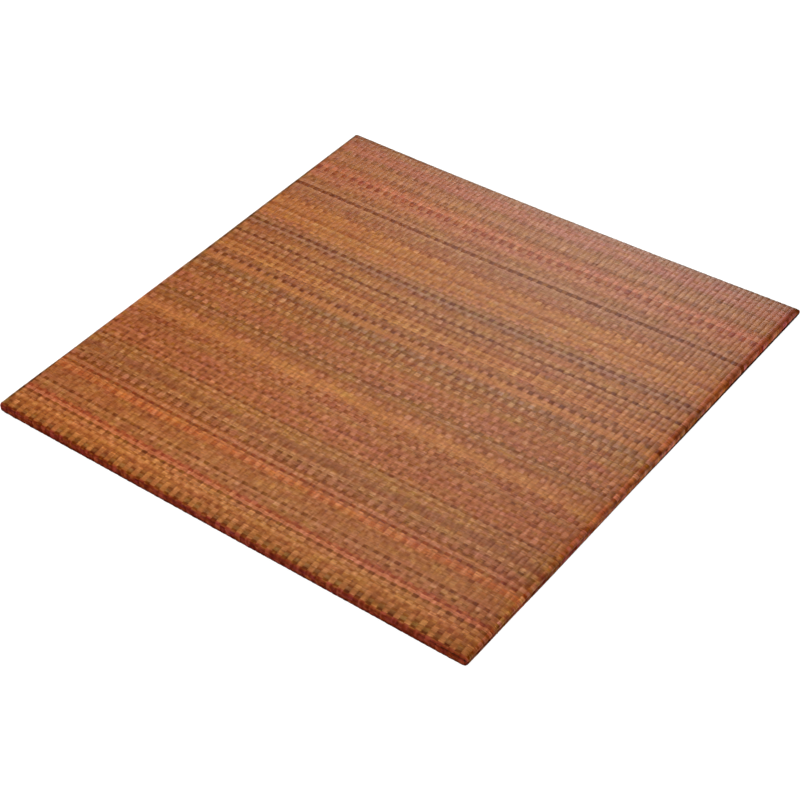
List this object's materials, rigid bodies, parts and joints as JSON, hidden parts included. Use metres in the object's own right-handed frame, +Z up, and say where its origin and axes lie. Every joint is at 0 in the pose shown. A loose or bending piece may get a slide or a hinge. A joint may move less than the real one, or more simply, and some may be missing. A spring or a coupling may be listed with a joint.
{
  "type": "tatami mat",
  "caption": "Square borderless tatami mat: woven dyed rush in stripes, ribbed on top, folded down over four sides, lying flat on a floor.",
  "frame": {"origin": "centre of the flat underside, on the floor", "axes": "+Z up; the stripes and the rush stems run along X, the warps and the ribs along Y; -Y is the side nearest the camera's left in the picture"},
  "size_m": [0.82, 0.82, 0.017],
  "materials": {
    "woven_rush": "satin"
  },
  "bodies": {
    "root": {"rush_mat": "woven_rush"}
  },
  "joints": []
}
